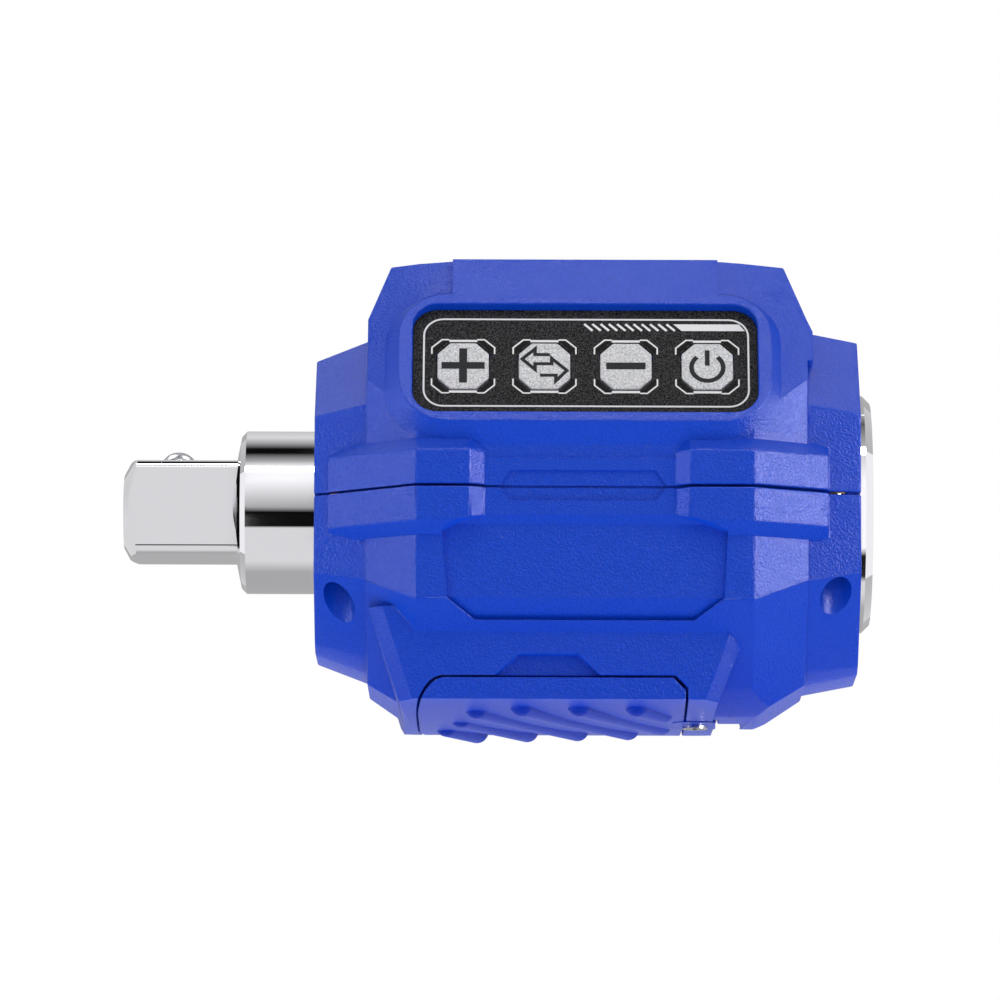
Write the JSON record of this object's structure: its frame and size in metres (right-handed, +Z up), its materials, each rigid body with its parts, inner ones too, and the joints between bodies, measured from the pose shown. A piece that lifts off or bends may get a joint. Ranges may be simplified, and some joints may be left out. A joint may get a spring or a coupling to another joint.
{
  "type": "digital torque adapter",
  "caption": "Square drive shaft with strain gauges inside a faceted housing with a slanted keypad, a display on top and a ribbed battery door with a captive screw below.",
  "frame": {"origin": "centre of the drive square's end face", "axes": "+X along the drive axis from the square towards the flange, +Z up through the display, -Y out of the keypad side"},
  "size_m": [0.1001, 0.0538, 0.0611],
  "materials": {
    "blue_plastic": "deep blue fine-grained moulding",
    "chrome": "polished plating",
    "plated_steel": "bright zinc plating",
    "spring_steel": "drawn wire",
    "brass": "machined",
    "dark_membrane": "textured film with fine pale speckle",
    "grey_key": "satin with fine dark speckle",
    "circuit_board": "green solder mask",
    "black_component": "moulded",
    "window": "tinted, polished",
    "display": "grey-green display glass",
    "amber_film": "polyimide film",
    "cell_jacket": "satin sleeve",
    "seal_rubber": "smooth",
    "ivory_plastic": "machined"
  },
  "bodies": {
    "housing": {"upper_housing": "blue_plastic", "lower_housing": "blue_plastic", "door_insert": "brass", "housing_screws": "plated_steel", "threaded_inserts": "brass", "torque_shaft": "chrome", "detent_spring": "spring_steel", "keypad_overlay": "dark_membrane", "key_board": "circuit_board", "key_switches": "black_component", "display_window": "window", "lcd_module": "display", "lcd_ribbon": "amber_film", "main_board": "circuit_board", "board_screws": "plated_steel", "buzzer": "black_component", "strain_gauges": "amber_film", "gauge_flex": "amber_film", "battery_cell_1": "cell_jacket", "battery_cell_2": "cell_jacket", "contact_plates": "plated_steel", "contact_springs": "spring_steel", "front_seal": "seal_rubber", "rear_seal": "seal_rubber", "front_bush": "ivory_plastic", "retaining_ring": "spring_steel"},
    "key_plus": {"key_plus": "grey_key"},
    "key_swap": {"key_swap": "grey_key"},
    "key_minus": {"key_minus": "grey_key"},
    "key_power": {"key_power": "grey_key"},
    "detent_ball": {"detent_ball": "plated_steel"},
    "battery_door": {"battery_door": "blue_plastic"},
    "screw_clip": {"screw_clip": "spring_steel"},
    "door_screw": {"door_screw": "plated_steel"}
  },
  "joints": [
    {"name": "key_plus_press", "type": "slide", "parent": "housing", "child": "key_plus", "axis": [0, 0.9135, -0.4067], "range_m": [0, 0.0004], "stiffness_N_per_m": 4000},
    {"name": "key_swap_press", "type": "slide", "parent": "housing", "child": "key_swap", "axis": [0, 0.9135, -0.4067], "range_m": [0, 0.0004], "stiffness_N_per_m": 4000},
    {"name": "key_minus_press", "type": "slide", "parent": "housing", "child": "key_minus", "axis": [0, 0.9135, -0.4067], "range_m": [0, 0.0004], "stiffness_N_per_m": 4000},
    {"name": "key_power_press", "type": "slide", "parent": "housing", "child": "key_power", "axis": [0, 0.9135, -0.4067], "range_m": [0, 0.0004], "stiffness_N_per_m": 4000},
    {"name": "detent_press", "type": "slide", "parent": "housing", "child": "detent_ball", "axis": [0, 0, -1], "range_m": [0, 0.0015], "stiffness_N_per_m": 6000, "deforming": ["detent_spring"]},
    {"name": "door_hinge", "type": "hinge", "parent": "housing", "child": "battery_door", "pos_m": [0.0396, 0, -0.0286], "axis": [0, 1, 0], "range_deg": [0, 80]},
    {"name": "screw_back_out", "type": "slide", "parent": "battery_door", "child": "screw_clip", "axis": [0, 0, -1], "range_m": [0, 0.0024]},
    {"name": "screw_turn", "type": "hinge", "parent": "screw_clip", "child": "door_screw", "pos_m": [0.0767, 0, -0.028], "axis": [0, 0, -1], "range_deg": [0, 1920]}
  ],
  "couplings": [
    {"joint": "screw_turn", "follows": "screw_back_out", "rad_per_m": 13963}
  ]
}
